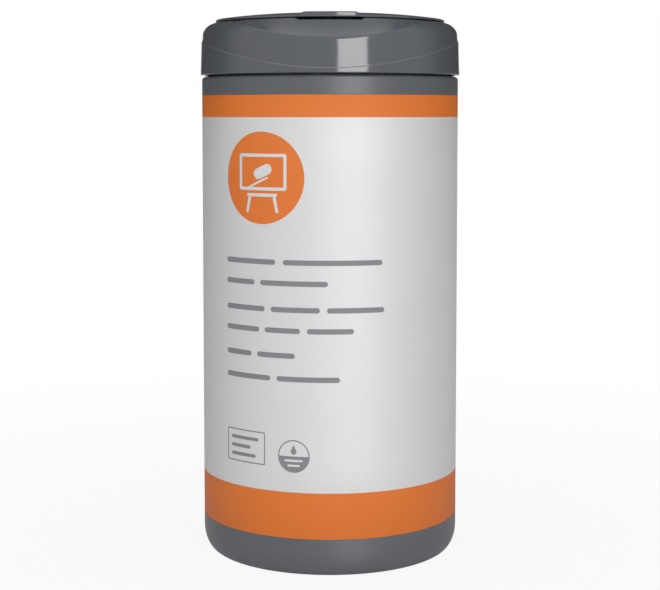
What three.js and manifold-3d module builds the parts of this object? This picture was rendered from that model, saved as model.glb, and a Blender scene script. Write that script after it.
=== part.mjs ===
// A canister of wet wipes for whiteboards: a moulded tub with a rounded foot and a snap neck, a wrap
// label in a shallow recess, a coreless roll of wipes, and a push-on cap with a hinged flip lid.
// Units are millimetres, +Z is up, the origin is the centre of the foot and the front faces -Y.
import * as THREE from "three";
import { mergeVertices } from "three/addons/utils/BufferGeometryUtils.js";
import Module from "manifold-3d";

const wasm = await Module();
wasm.setup();

// Fits and round sections
const SEAT_GAP = 0.3; // two pieces that touch at rest
const SLIP_GAP = 0.6; // a ring inside a round wall
const SNAP_GAP = 0.2; // between the two snap beads as they pass
const ROUND_STEPS = 48; // facets round a turned piece
const ARC_STEPS = 4; // facets along a rounded corner

// Tub
const TUB_RADIUS = 46;
const TUB_WALL = 1.1;
const FOOT_ARC_WIDTH = 4.5;
const FOOT_ARC_HEIGHT = 8.5;
const FLOOR_THICKNESS = 1.5;
const PUSH_UP_RADIUS = 31;
const PUSH_UP_HEIGHT = 2.2;
const PUSH_UP_SLOPE = 3;
const SHOULDER_BOTTOM = 169.4;
const SHOULDER_RISE = 1.3;
const SHOULDER_ARC_WIDTH = 2.8;
const NECK_STEP = 3.4; // how far the neck stands in from the tub's side
const NECK_WALL = 1.2;
const NECK_HEIGHT = 10.9; // above the shoulder
const NECK_EDGE = 0.3;
const BEAD_DEPTH = 0.8;
const BEAD_HEIGHT = 2.3;
const BEAD_MIDDLE_HEIGHT = 6.1; // above the shoulder

// Label
const LABEL_BOTTOM = 13.4;
const LOWER_BAND_HEIGHT = 15.9;
const UPPER_BAND_HEIGHT = 7.6;
const LABEL_TOP = 163.8;
const LABEL_THICKNESS = 0.3;

// Roll of wipes
const ROLL_GAP = 4.3; // room between a full roll and the tub's wall
const ROLL_CORE_RADIUS = 9.5;
const WIPE_WIDTH = 150;
const ROLL_RIDGES = 4;
const RIDGE_DEPTH = 0.7;

// Cap
const CAP_OVERHANG = 0.6; // how far the cap's bottom edge stands out of the tub's side
const BAND_DRAFT = 0.35; // how far the band leans in up to the crease's highest point
const CREASE_STEP = 0.2; // how far the band stands out of the face above it
const CREASE_FRONT_HEIGHT = 1.7; // above the cap's bottom edge
const CREASE_CURVE = 113; // radius of the crease, seen from the front
const CAP_WALL = 1.4;
const CAP_HEIGHT = 18.4; // up to its deck
const CAP_DRAFT = 0.8; // how far the side leans in up to its corner
const CAP_CORNER = 5; // radius between side and deck
const SCOOP_DROP = 7.2; // depth below the deck where the finger scoop leaves the cap's side, at the front
const SCOOP_CLIMB = 0.5; // how fast its lower edge climbs for each millimetre from front to back
const SCOOP_LAND = 0.2; // deck left between the lid's edge and the scoop
const NOTCH_HALF = 12; // nail notch in the deck, below the lid's lip
const NOTCH_SLANT = 1.8;
const NOTCH_DEPTH = 0.7;
const NOTCH_LENGTH = 6;
const WELL_RADIUS = 28;
const WELL_WALL = 1.2;
const PLUG_WALL = 1.1;
const PLUG_DEPTH = 3; // how far the plug ring reaches into the neck
const FLANGE_THICKNESS = 1.6;
const CAP_BEAD_HEIGHT = 1.6;
const CAP_BEAD_RISE = 3.2; // above the cap's bottom edge

// Star-cut spout in the cap
const SPOUT_RADIUS = 13;
const SPOUT_RISE = 3.3;
const SPOUT_TOP_RADIUS = 4.2;
const SPOUT_WALL = 1;
const SPOUT_HOLE_RADIUS = 3.4;
const SLIT_WIDTH = 1;
const SLIT_REACH = 10.5;
const SLIT_COUNT = 6;

// Flip lid and its hinge line
const LID_INSET = 4.7; // from the cap's side to the lid's edge
const LID_THICKNESS = 1.2;
const LID_RISE = 2.2; // crown of the lid above its rim
const LID_CROWN_POWER = 2.8;
const LID_RIM_HEIGHT = 0.8;
const LID_RIM_WALL = 1.4;
const LID_EDGE = 0.4;
const SEAL_WALL = 1;
const SEAL_DEPTH = 3.1; // below the lid's rim
const HINGE_INSET = 3.1; // from the lid's rear edge to the hinge line
const HINGE_POCKET_DEPTH = 3;
const HINGE_WALL = 1.3;
const HINGE_SIDE_GAP = 0.8;
const LIP_HALF = 9.6;
const LIP_REACH = 0.9; // how far the thumb lip stands out of the rim
const LIP_LENGTH = 7.1;
const LIP_TOP = 0.05; // above the lid's crown where the lip starts

const CUT_MARGIN = 10; // how far a cut runs past what it cuts

// Geometry helpers

// Points on a quarter or part of an ellipse, angles in degrees from the outward direction.
function arc(centreR, centreZ, widthR, heightZ, from, to, steps = ARC_STEPS) {
  const points = [];
  for (let i = 0; i <= steps; i++) {
    const angle = THREE.MathUtils.degToRad(from + ((to - from) * i) / steps);
    points.push([centreR + widthR * Math.cos(angle), centreZ + heightZ * Math.sin(angle)]);
  }
  return points;
}

// A three.js geometry as a manifold-3d solid, turned the right way round.
function solid(geometry) {
  const bare = geometry.index ? geometry.toNonIndexed() : geometry.clone();
  bare.deleteAttribute("normal");
  bare.deleteAttribute("uv");
  const merged = mergeVertices(bare, 1e-4);
  const corners = merged.index.array;
  const kept = [];
  for (let i = 0; i < corners.length; i += 3) {
    const [a, b, c] = [corners[i], corners[i + 1], corners[i + 2]];
    if (a !== b && b !== c && a !== c) kept.push(a, b, c);
  }
  const build = (triangles) =>
    new wasm.Manifold(
      new wasm.Mesh({
        numProp: 3,
        vertProperties: merged.attributes.position.array,
        triVerts: new Uint32Array(triangles),
      }),
    );
  const made = build(kept);
  return made.volume() < 0 ? build(kept.reverse()) : made;
}

// A solid turned about Z from [radius, height] pairs. A profile off the axis is closed on itself.
function turned(profile) {
  const points = profile.map(([r, z]) => new THREE.Vector2(r, z));
  const onAxis = profile[0][0] === 0 && profile.at(-1)[0] === 0;
  if (!onAxis) points.push(points[0].clone());
  return solid(new THREE.LatheGeometry(points, ROUND_STEPS).rotateX(Math.PI / 2));
}

const ring = (inner, outer, bottom, top) =>
  turned([[inner, bottom], [outer, bottom], [outer, top], [inner, top]]);

const disc = (radius, bottom, top) =>
  turned([[0, bottom], [radius, bottom], [radius, top], [0, top]]);

function box(x0, x1, y0, y1, z0, z1) {
  const geometry = new THREE.BoxGeometry(x1 - x0, y1 - y0, z1 - z0);
  return solid(geometry.translate((x0 + x1) / 2, (y0 + y1) / 2, (z0 + z1) / 2));
}

// A flat outline in X and Z, run along Y from y0 to y1.
function alongY(outline, y0, y1) {
  const shape = new THREE.Shape(outline.map(([x, z]) => new THREE.Vector2(x, z)));
  const geometry = new THREE.ExtrudeGeometry(shape, { depth: y1 - y0, bevelEnabled: false });
  return solid(geometry.rotateX(Math.PI / 2).translate(0, y1, 0));
}

// A flat outline in X and Y, raised from z0 to z1.
function upright(outline, z0, z1) {
  const shape = new THREE.Shape(outline.map(([x, y]) => new THREE.Vector2(x, y)));
  const geometry = new THREE.ExtrudeGeometry(shape, { depth: z1 - z0, bevelEnabled: false });
  return solid(geometry.translate(0, 0, z0));
}

// Radii that follow from the tub's radius, from its wall out to the cap and in to the lid
const recessRadius = TUB_RADIUS - LABEL_THICKNESS - SEAT_GAP;
const tubInnerRadius = recessRadius - TUB_WALL;
const rollRadius = tubInnerRadius - ROLL_GAP;
const neckRadius = TUB_RADIUS - NECK_STEP;
const neckInnerRadius = neckRadius - NECK_WALL;
const capBottomRadius = TUB_RADIUS + CAP_OVERHANG;
const capCreaseRadius = capBottomRadius - BAND_DRAFT;
const capSideRadius = capBottomRadius - CAP_DRAFT;
const capCornerCentre = capSideRadius - CAP_CORNER;
const lidRadius = capSideRadius - LID_INSET;
const hingeY = lidRadius - HINGE_INSET;
const cutReach = capBottomRadius + CUT_MARGIN;

// Heights that follow from the tub's shoulder, up to the neck, the cap and the lid
const shoulderTop = SHOULDER_BOTTOM + SHOULDER_RISE;
const neckTop = shoulderTop + NECK_HEIGHT;
const capBottom = shoulderTop + SEAT_GAP;
const deckTop = capBottom + CAP_HEIGHT;
const flangeBottom = neckTop + SEAT_GAP;
const wellFloor = flangeBottom + FLANGE_THICKNESS;
const lidBottom = deckTop + SEAT_GAP;
const lidRimTop = lidBottom + LID_RIM_HEIGHT;
const cutTop = lidRimTop + LID_RISE + CUT_MARGIN;

// Tub: one blow-moulded piece with a label recess, a rounded shoulder and a beaded neck

function makeTub() {
  const footCentre = TUB_RADIUS - FOOT_ARC_WIDTH;
  const innerArcWidth = tubInnerRadius - footCentre + FLOOR_THICKNESS / 2;
  const innerArcHeight = FOOT_ARC_HEIGHT - FLOOR_THICKNESS;
  const beadMiddle = shoulderTop + BEAD_MIDDLE_HEIGHT;
  const beadBottom = beadMiddle - BEAD_HEIGHT / 2;
  const beadTop = beadMiddle + BEAD_HEIGHT / 2;
  const shoulderCentre = TUB_RADIUS - SHOULDER_ARC_WIDTH;
  return turned([
    [0, PUSH_UP_HEIGHT],
    [PUSH_UP_RADIUS, PUSH_UP_HEIGHT],
    [PUSH_UP_RADIUS + PUSH_UP_SLOPE, 0],
    ...arc(footCentre, FOOT_ARC_HEIGHT, FOOT_ARC_WIDTH, FOOT_ARC_HEIGHT, -90, 0),
    [TUB_RADIUS, LABEL_BOTTOM - SEAT_GAP],
    [recessRadius, LABEL_BOTTOM - SEAT_GAP],
    [recessRadius, LABEL_TOP + SEAT_GAP],
    [TUB_RADIUS, LABEL_TOP + SEAT_GAP],
    ...arc(shoulderCentre, SHOULDER_BOTTOM, SHOULDER_ARC_WIDTH, SHOULDER_RISE, 0, 90),
    [neckRadius, shoulderTop],
    [neckRadius, beadBottom],
    [neckRadius + BEAD_DEPTH, beadBottom + BEAD_DEPTH],
    [neckRadius + BEAD_DEPTH, beadTop - BEAD_DEPTH],
    [neckRadius, beadTop],
    [neckRadius, neckTop - NECK_EDGE],
    [neckRadius - NECK_EDGE, neckTop],
    [neckInnerRadius, neckTop],
    [neckInnerRadius, shoulderTop],
    [tubInnerRadius, SHOULDER_BOTTOM - TUB_WALL],
    ...arc(tubInnerRadius - innerArcWidth, FOOT_ARC_HEIGHT, innerArcWidth, innerArcHeight, 0, -90),
    [PUSH_UP_RADIUS + PUSH_UP_SLOPE, FLOOR_THICKNESS],
    [PUSH_UP_RADIUS, PUSH_UP_HEIGHT + FLOOR_THICKNESS],
    [0, PUSH_UP_HEIGHT + FLOOR_THICKNESS],
  ]);
}

// Label: one printed film, whose three fields of colour are rings that meet edge to edge
const lowerBandTop = LABEL_BOTTOM + LOWER_BAND_HEIGHT;
const upperBandBottom = LABEL_TOP - UPPER_BAND_HEIGHT;
const labelField = (bottom, top) =>
  ring(TUB_RADIUS - LABEL_THICKNESS, TUB_RADIUS, bottom, top);

// Roll: a continuous web wound without a core, its turns shown as ridges on both ends
function makeRoll() {
  const bottom = PUSH_UP_HEIGHT + FLOOR_THICKNESS + SEAT_GAP;
  const top = bottom + WIPE_WIDTH;
  const pitch = (rollRadius - ROLL_CORE_RADIUS) / ROLL_RIDGES;
  const lower = [];
  const upper = [];
  for (let i = 0; i < ROLL_RIDGES; i++) {
    const inner = ROLL_CORE_RADIUS + i * pitch;
    lower.push([inner, bottom + RIDGE_DEPTH], [inner + pitch / 2, bottom]);
    upper.push([inner, top - RIDGE_DEPTH], [inner + pitch / 2, top]);
  }
  lower.push([rollRadius, bottom + RIDGE_DEPTH]);
  upper.push([rollRadius, top - RIDGE_DEPTH]);
  return turned([...lower, ...upper.reverse()]);
}

// Cap outside: a drafted side, a rounded corner and a flat deck, with a raised lower band
const cornerZ = deckTop - CAP_CORNER;
const creaseTop = capBottom + CREASE_FRONT_HEIGHT + CREASE_CURVE
  - Math.sqrt(CREASE_CURVE ** 2 - capCreaseRadius ** 2);

// The part of the crease's outline above its arc, up to the given height
function aboveCrease(height) {
  const lowest = capBottom + CREASE_FRONT_HEIGHT;
  const reach = capBottomRadius + 2;
  const outline = [];
  const steps = 20;
  for (let i = 0; i <= steps; i++) {
    const x = -reach + (2 * reach * i) / steps;
    outline.push([x, lowest + CREASE_CURVE - Math.sqrt(CREASE_CURVE ** 2 - x ** 2)]);
  }
  return [...outline, [reach, height], [-reach, height]];
}

function makeCapOutside() {
  const face = turned([
    [0, capBottom],
    [capBottomRadius - CREASE_STEP, capBottom],
    [capCreaseRadius - CREASE_STEP, creaseTop],
    ...arc(capCornerCentre, cornerZ, CAP_CORNER, CAP_CORNER, 0, 90, ARC_STEPS + 1),
    [0, deckTop],
  ]);
  const band = turned([
    [0, capBottom],
    [capBottomRadius, capBottom],
    [capCreaseRadius, creaseTop],
    [0, creaseTop],
  ]);
  return face.add(band.subtract(alongY(aboveCrease(cutTop), -cutReach, cutReach)));
}

// Finger scoop: a slope from the lid's edge down to the cap's side. It is cut by a ring above a cone,
// sheared so that the cone's foot climbs towards the back and leaves the cap's corner whole there.
function makeScoop(drop) {
  const inner = lidRadius + SCOOP_LAND;
  const foot = capCreaseRadius - CREASE_STEP;
  const outer = foot + CAP_CORNER;
  const slope = SCOOP_DROP / (foot - inner);
  const above = deckTop + LID_RISE;
  const low = deckTop - slope * (outer - inner);
  const section = [[inner, deckTop], [outer, low], [outer, above], [inner, above], [inner, deckTop]];
  const points = section.map(([r, z]) => new THREE.Vector2(r, z));
  const geometry = new THREE.LatheGeometry(points, ROUND_STEPS).rotateX(Math.PI / 2);
  const places = geometry.attributes.position;
  for (let i = 0; i < places.count; i++) {
    const radius = Math.hypot(places.getX(i), places.getY(i));
    const share = (radius - inner) / (foot - inner);
    const climb = SCOOP_CLIMB * (radius + places.getY(i));
    places.setZ(i, places.getZ(i) + share * climb - drop);
  }
  return solid(geometry);
}

// Nail notch: a shallow cut with slanting ends in the deck, below the lid's lip
function makeNotch(drop) {
  const floor = deckTop - NOTCH_DEPTH - drop;
  const outline = [
    [-NOTCH_HALF + NOTCH_SLANT, floor],
    [NOTCH_HALF - NOTCH_SLANT, floor],
    [NOTCH_HALF, deckTop + drop + 1],
    [-NOTCH_HALF, deckTop + drop + 1],
  ];
  return alongY(outline, -cutReach, -lidRadius + NOTCH_LENGTH + drop);
}

// Hinge pocket: the rear corner is cut back so that the open lid has room behind its hinge line
const hingeHalf = Math.sqrt(lidRadius ** 2 - hingeY ** 2);

function makeHingePocket(wall) {
  const half = hingeHalf + HINGE_SIDE_GAP + wall;
  const floor = deckTop - HINGE_POCKET_DEPTH - wall;
  return box(-half, half, hingeY + SEAT_GAP - wall, cutReach, floor, cutTop);
}

// Hollow inside the cap, less what the scoop, the pocket and the well keep as their own walls
function makeCapInside() {
  const hollow = turned([
    [0, capBottom - 1],
    [capBottomRadius - CAP_WALL, capBottom - 1],
    [capSideRadius - CAP_WALL, cornerZ],
    ...arc(capCornerCentre, cornerZ, CAP_CORNER - CAP_WALL, CAP_CORNER - CAP_WALL, 0, 90).slice(1),
    [0, deckTop - CAP_WALL],
  ]);
  return hollow
    .subtract(makeScoop(2 * CAP_WALL))
    .subtract(makeNotch(CAP_WALL))
    .subtract(makeHingePocket(CAP_WALL))
    .subtract(disc(WELL_RADIUS + WELL_WALL, wellFloor - WELL_WALL, cutTop));
}

// Plug ring that stops in the neck, with a flange that sits on the neck's rim
function makePlug() {
  const outer = neckInnerRadius - SEAT_GAP;
  return turned([
    [outer - PLUG_WALL, neckTop - PLUG_DEPTH],
    [outer, neckTop - PLUG_DEPTH],
    [outer, flangeBottom],
    [neckRadius, flangeBottom],
    [neckRadius, wellFloor],
    [outer, wellFloor],
    [outer, deckTop - CAP_WALL / 2],
    [outer - PLUG_WALL, deckTop - CAP_WALL / 2],
  ]);
}

// Snap bead inside the cap's skirt, below the tub's own bead
function makeCapBead() {
  const inner = neckRadius + BEAD_DEPTH + SNAP_GAP;
  const root = capBottomRadius - CAP_WALL / 2;
  const middle = capBottom + CAP_BEAD_RISE;
  return turned([
    [root, middle - CAP_BEAD_HEIGHT],
    [root, middle + CAP_BEAD_HEIGHT],
    [inner, middle + CAP_BEAD_HEIGHT / 4],
    [inner, middle - CAP_BEAD_HEIGHT / 4],
  ]);
}

// Spout: a low cone in the well floor, slit into petals that hold the next wipe. It is moulded with the
// cap, and is a solid of its own so that each petal can keep its own shape.
const wellUnder = wellFloor - WELL_WALL;

function makeSpout() {
  const top = wellFloor + SPOUT_RISE;
  const cone = turned([
    [0, wellUnder],
    [SPOUT_RADIUS, wellUnder],
    [SPOUT_RADIUS, wellFloor],
    [SPOUT_TOP_RADIUS, top],
    [0, top],
  ]);
  return cone.subtract(makeSpoutHollow());
}

function makeSpoutHollow() {
  const top = wellFloor + SPOUT_RISE - SPOUT_WALL;
  const mouth = SPOUT_RADIUS - SPOUT_WALL;
  let hollow = turned([
    [0, wellUnder - 1],
    [mouth, wellUnder - 1],
    [mouth, wellUnder],
    [SPOUT_TOP_RADIUS - SPOUT_WALL / 2, top],
    [0, top],
  ]);
  hollow = hollow.add(disc(SPOUT_HOLE_RADIUS, wellUnder - 1, top + 2 * SPOUT_WALL));
  for (let i = 0; i < SLIT_COUNT; i++) {
    const slit = new THREE.BoxGeometry(SLIT_REACH, SLIT_WIDTH, SPOUT_RISE * 3);
    slit.translate(SLIT_REACH / 2, 0, wellFloor).rotateZ((2 * Math.PI * (i + 0.25)) / SLIT_COUNT);
    hollow = hollow.add(solid(slit));
  }
  return hollow;
}

function makeCap() {
  return makeCapOutside()
    .subtract(makeScoop(0))
    .subtract(makeNotch(0))
    .subtract(makeHingePocket(0))
    .subtract(disc(WELL_RADIUS, wellFloor, cutTop))
    .subtract(makeCapInside())
    .add(makePlug())
    .add(makeCapBead())
    .subtract(disc(SPOUT_RADIUS, wellUnder - 1, cutTop));
}

// Flip lid: a crowned plate with a thin rim
const crownHeight = (r) => lidRimTop + LID_RISE * (1 - (r / lidRadius) ** LID_CROWN_POWER);

function makeLidPlate() {
  const shares = [0, 0.3, 0.5, 0.65, 0.77, 0.87, 0.94];
  const crown = shares.map((share) => [share * lidRadius, crownHeight(share * lidRadius)]);
  const under = crown.map(([r, z]) => [r, z - LID_THICKNESS]);
  return turned([
    ...crown,
    [lidRadius - LID_EDGE, crownHeight(lidRadius - LID_EDGE)],
    [lidRadius, lidRimTop - LID_EDGE],
    [lidRadius, lidBottom],
    [lidRadius - LID_RIM_WALL, lidBottom],
    ...under.reverse(),
  ]);
}

// Thumb lip: a raised pad that stands a little out of the rim above the nail notch
function makeThumbLip() {
  const front = lidRadius + LIP_REACH;
  const back = lidRadius - LIP_LENGTH;
  const outline = [];
  for (const radius of [front, back]) {
    const edge = THREE.MathUtils.radToDeg(Math.asin(LIP_HALF / radius));
    const turn = radius === front ? [-90 - edge, -90 + edge] : [-90 + edge, -90 - edge];
    outline.push(...arc(0, 0, radius, radius, ...turn));
  }
  return upright(outline, lidBottom, crownHeight(back) + LIP_TOP);
}

// Seal ring under the lid, which closes inside the cap's well
function makeSealRing() {
  const outer = WELL_RADIUS - SLIP_GAP;
  const top = crownHeight(outer) - LID_THICKNESS / 2;
  return ring(outer - SEAL_WALL, outer, lidBottom - SEAL_DEPTH, top);
}

function makeLid() {
  const hingeFace = hingeY - SEAT_GAP / 2;
  const hingeWall = box(-hingeHalf, hingeHalf, hingeFace - HINGE_WALL, hingeFace, lidBottom, lidRimTop);
  const inside = disc(lidRadius, lidBottom, lidRimTop - LID_EDGE);
  return makeLidPlate()
    .add(makeThumbLip())
    .add(makeSealRing())
    .add(hingeWall.intersect(inside))
    .subtract(box(-cutReach, cutReach, hingeFace, cutReach, capBottom, cutTop));
}

// The pack

const greyPlastic = { color: 0x55585c, roughness: 0.35, metalness: 0 };
const orangePrint = { color: 0xd67432, roughness: 0.45, metalness: 0 };
const silverFilm = { color: 0xd6d7d8, roughness: 0.4, metalness: 0.1 };
const wetCloth = { color: 0xf2f3f0, roughness: 0.9, metalness: 0 };

function named(name, manifold, look) {
  const made = manifold.getMesh();
  const geometry = new THREE.BufferGeometry();
  geometry.setAttribute("position", new THREE.BufferAttribute(made.vertProperties, 3));
  geometry.setIndex(new THREE.BufferAttribute(made.triVerts, 1));
  geometry.computeVertexNormals();
  const mesh = new THREE.Mesh(geometry, new THREE.MeshStandardMaterial(look));
  mesh.name = name;
  return mesh;
}

const pack = new THREE.Group();
pack.add(named("tub", makeTub(), greyPlastic));
pack.add(named("label_lower_band", labelField(LABEL_BOTTOM, lowerBandTop), orangePrint));
pack.add(named("label_panel", labelField(lowerBandTop, upperBandBottom), silverFilm));
pack.add(named("label_upper_band", labelField(upperBandBottom, LABEL_TOP), orangePrint));
pack.add(named("wipes_roll", makeRoll(), wetCloth));
pack.add(named("cap", makeCap(), greyPlastic));
pack.add(named("spout", makeSpout(), greyPlastic));
pack.add(named("flip_lid", makeLid(), greyPlastic));

export default pack;
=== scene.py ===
# %% [markdown]
# # A canister of whiteboard wipes
# The real object is a tall blow-moulded tub with a wrap label, a roll of wet wipes inside, and a push-on
# cap with a hinged flip lid. A fixed frame of plain solids gives every size and joint. This script builds
# the finished surfaces round that frame, one short cell for each piece or finish.

# %% Tools and frame
import math

import bmesh
import bpy
from mathutils import Matrix, Vector


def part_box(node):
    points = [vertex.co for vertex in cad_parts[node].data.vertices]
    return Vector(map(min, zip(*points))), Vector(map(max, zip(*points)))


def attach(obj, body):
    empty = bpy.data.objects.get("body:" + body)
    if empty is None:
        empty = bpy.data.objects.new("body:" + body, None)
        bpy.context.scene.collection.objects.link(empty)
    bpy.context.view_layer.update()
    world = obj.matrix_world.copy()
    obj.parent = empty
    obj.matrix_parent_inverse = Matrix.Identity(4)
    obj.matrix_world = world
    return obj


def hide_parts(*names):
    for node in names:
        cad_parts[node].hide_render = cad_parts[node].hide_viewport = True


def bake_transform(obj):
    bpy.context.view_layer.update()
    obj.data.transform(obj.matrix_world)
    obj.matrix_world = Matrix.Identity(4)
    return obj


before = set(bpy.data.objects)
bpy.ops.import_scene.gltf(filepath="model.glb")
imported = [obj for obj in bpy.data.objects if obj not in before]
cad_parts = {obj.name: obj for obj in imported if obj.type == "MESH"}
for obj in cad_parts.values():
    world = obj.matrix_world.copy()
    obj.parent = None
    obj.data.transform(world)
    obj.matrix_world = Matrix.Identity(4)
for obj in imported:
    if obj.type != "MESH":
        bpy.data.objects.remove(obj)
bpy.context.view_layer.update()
print("frame nodes:", sorted(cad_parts))

# %% [markdown]
# The camera comes first, because everything is seen through it. The photograph was taken from about
# twelve body radii away with a long lens, a little below the lid, so the bands curve more and more
# towards the foot. A level camera with a shifted lens would keep the sides parallel, but it would push
# the object out of the other views, so this camera is tipped down by a few degrees.

# %% Camera
PHOTO_WIDTH = 660
SENSOR_WIDTH = 36.0
FOCAL_PIXELS = 1547.1
CAMERA_DISTANCE = 0.5606
CAMERA_HEIGHT = 0.158
CAMERA_PITCH = 4.33
CAMERA_SHIFT = -0.1


def linked(name, data):
    """A new object for some data, in the scene."""
    made = bpy.data.objects.new(name, data)
    bpy.context.scene.collection.objects.link(made)
    return made


lens = bpy.data.cameras.new("camera")
lens.sensor_width = SENSOR_WIDTH
lens.lens = FOCAL_PIXELS * SENSOR_WIDTH / PHOTO_WIDTH
lens.shift_y = CAMERA_SHIFT
lens.clip_start = 0.01
camera = linked("camera", lens)
camera.location = (0, -CAMERA_DISTANCE, CAMERA_HEIGHT)
camera.rotation_euler = (math.radians(90 - CAMERA_PITCH), 0, 0)
bpy.context.scene.camera = camera
bpy.context.scene.view_settings.view_transform = "Standard"
print("lens", round(lens.lens, 1), "mm")

# %% [markdown]
# Sizes are in millimetres and most are read off the frame's boxes, so the pieces follow the frame when
# it changes. Only the small forms that a box can't tell, such as fillets, have their own numbers.

# %% Sizes from the frame
MM = 0.001


def low(node, axis):
    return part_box(node)[0][axis] / MM


def high(node, axis):
    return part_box(node)[1][axis] / MM


X, Y, Z = 0, 1, 2
TUB_RADIUS = high("tub", X)
NECK_TOP = high("tub", Z)
LABEL_BOTTOM = low("label_lower_band", Z)
LOWER_BAND_TOP = high("label_lower_band", Z)
UPPER_BAND_BOTTOM = low("label_upper_band", Z)
LABEL_TOP = high("label_upper_band", Z)
CAP_RADIUS = high("cap", X)
CAP_BOTTOM = low("cap", Z)
DECK_TOP = high("cap", Z)
LID_RADIUS = -low("flip_lid", Y)
LID_TOP = high("flip_lid", Z)
ROLL_RADIUS = high("wipes_roll", X)
ROLL_BOTTOM = low("wipes_roll", Z)
ROLL_TOP = high("wipes_roll", Z)
SPOUT_TOP = high("spout", Z)
SEAT_GAP = 0.3
print("body", round(2 * TUB_RADIUS, 1), "mm across,", round(LID_TOP, 1), "mm tall")

# %% [markdown]
# Node trees are easier to read as sums than as boxes and wires. One small class wraps a socket, so that
# Python's own operators add Math nodes, and a second one adds any other node. Both work in material trees
# and in geometry trees.


# %% Node trees as expressions
class Value:
    """A socket that Python's operators work on."""

    def __init__(self, graph, socket):
        self.graph = graph
        self.socket = socket

    def math(self, operation, *others):
        inputs = dict(enumerate((self, *others)))
        return self.graph.shader("Math", inputs, operation=operation)

    def __add__(self, other):
        return self.math("ADD", other)

    def __sub__(self, other):
        return self.math("SUBTRACT", other)

    def __rsub__(self, other):
        return self.math("MULTIPLY_ADD", -1.0, other)

    def __mul__(self, other):
        return self.math("MULTIPLY", other)

    def __truediv__(self, other):
        return self.math("DIVIDE", other)

    def __abs__(self):
        return self.math("ABSOLUTE")

    __radd__ = __add__
    __rmul__ = __mul__

    def clamped(self):
        return self.most(0.0).least(1.0)

    def least(self, other):
        return self.math("MINIMUM", other)

    def most(self, other):
        return self.math("MAXIMUM", other)


class Graph:
    """A node tree that is filled by calls."""

    def __init__(self, tree):
        self.tree = tree

    def node(self, kind, inputs=None, out=0, **settings):
        made = self.tree.nodes.new(kind)
        for name, setting in settings.items():
            setattr(made, name, setting)
        for key, value in (inputs or {}).items():
            if isinstance(value, Value):
                self.tree.links.new(value.socket, made.inputs[key])
            else:
                made.inputs[key].default_value = value
        return Value(self, made.outputs[out]) if len(made.outputs) else None

    def shader(self, kind, *inputs, **settings):
        return self.node("ShaderNode" + kind, *inputs, **settings)

    def geometry(self, kind, *inputs, **settings):
        return self.node("GeometryNode" + kind, *inputs, **settings)

    def mix(self, factor, first, second):
        """Two colours mixed by a number."""
        return self.shader("Mix", {0: factor, 6: first, 7: second}, out=2, data_type="RGBA")

    def noise(self, place, scale, detail):
        return self.shader("TexNoise", {"Vector": place, "Scale": scale, "Detail": detail})

    def apart(self, vector):
        """The three numbers of a vector."""
        numbers = self.shader("SeparateXYZ", {0: vector}).socket.node.outputs
        return [Value(self, number) for number in numbers]

    def relief(self, grain, strength, depth, slow, waves):
        """A normal with a fine grain over slow waves. Depth and waves are heights in metres."""
        fine = self.shader("Bump", {"Strength": strength, "Distance": depth, "Height": grain})
        inputs = {"Strength": 1.0, "Distance": waves, "Height": slow, "Normal": fine}
        return self.shader("Bump", inputs)

    def rays(self):
        """Two masks, for what the camera sees itself and for what it sees mirrored or through a thing."""
        outputs = self.tree.nodes.new("ShaderNodeLightPath").outputs
        through = Value(self, outputs["Is Transmission Ray"])
        return Value(self, outputs["Is Camera Ray"]), Value(self, outputs["Is Glossy Ray"]).most(through)


def cleared(owner):
    """The graph of a material or world, with no nodes yet."""
    owner.use_nodes = True
    owner.node_tree.nodes.clear()
    return Graph(owner.node_tree)


# %% [markdown]
# The tub and the roll are turned shapes, and a turned shape follows a rule: a profile goes
# round an axis. A geometry node tree does it here. It lays out a flat grid with one column for each step
# round the axis and one row for each profile point, reads the profile by row, and turns it by column.


# %% Geometry nodes lathe
def geometry_tree(name, inputs, result):
    """An empty geometry tree, its graph, and a value for each of its named inputs."""
    tree = bpy.data.node_groups.new(name, "GeometryNodeTree")
    for label, kind in inputs.items():
        tree.interface.new_socket(label, in_out="INPUT", socket_type="NodeSocket" + kind)
    tree.interface.new_socket(result, in_out="OUTPUT", socket_type="NodeSocketGeometry")
    graph = Graph(tree)
    given = tree.nodes.new("NodeGroupInput").outputs
    return tree, graph, [Value(graph, given[label]) for label in inputs]


def lathe_tree():
    inputs = {"Profile": "Geometry", "Steps": "Int", "Finish": "Material"}
    tree, graph, (profile, steps, finish) = geometry_tree("turn a profile", inputs, "Solid")
    points = graph.geometry("AttributeDomainSize", {0: profile})
    columns = steps + 1.0
    grid = graph.geometry("MeshGrid", {"Vertices X": columns, "Vertices Y": points})
    index = graph.geometry("InputIndex")
    column = (index / points).math("FLOOR")
    row = index - column * points
    place = graph.geometry("InputPosition")
    sampled = {"Geometry": profile, "Value": place, "Index": row}
    sample = graph.geometry("SampleIndex", sampled, data_type="FLOAT_VECTOR")
    angle = column * (2 * math.pi) / steps
    turned = graph.shader("VectorRotate", {"Vector": sample, "Angle": angle}, rotation_type="Z_AXIS")
    skin = graph.geometry("SetPosition", {"Geometry": grid, "Position": turned})
    merged = graph.geometry("MergeByDistance", {"Geometry": skin, "Distance": 1e-7})
    smooth = graph.geometry("SetShadeSmooth", {"Geometry": merged})
    real = graph.geometry("RealizeInstances", {"Geometry": smooth})
    done = graph.geometry("SetMaterial", {"Geometry": real, "Material": finish})
    graph.node("NodeGroupOutput", {0: done})
    return tree


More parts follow.
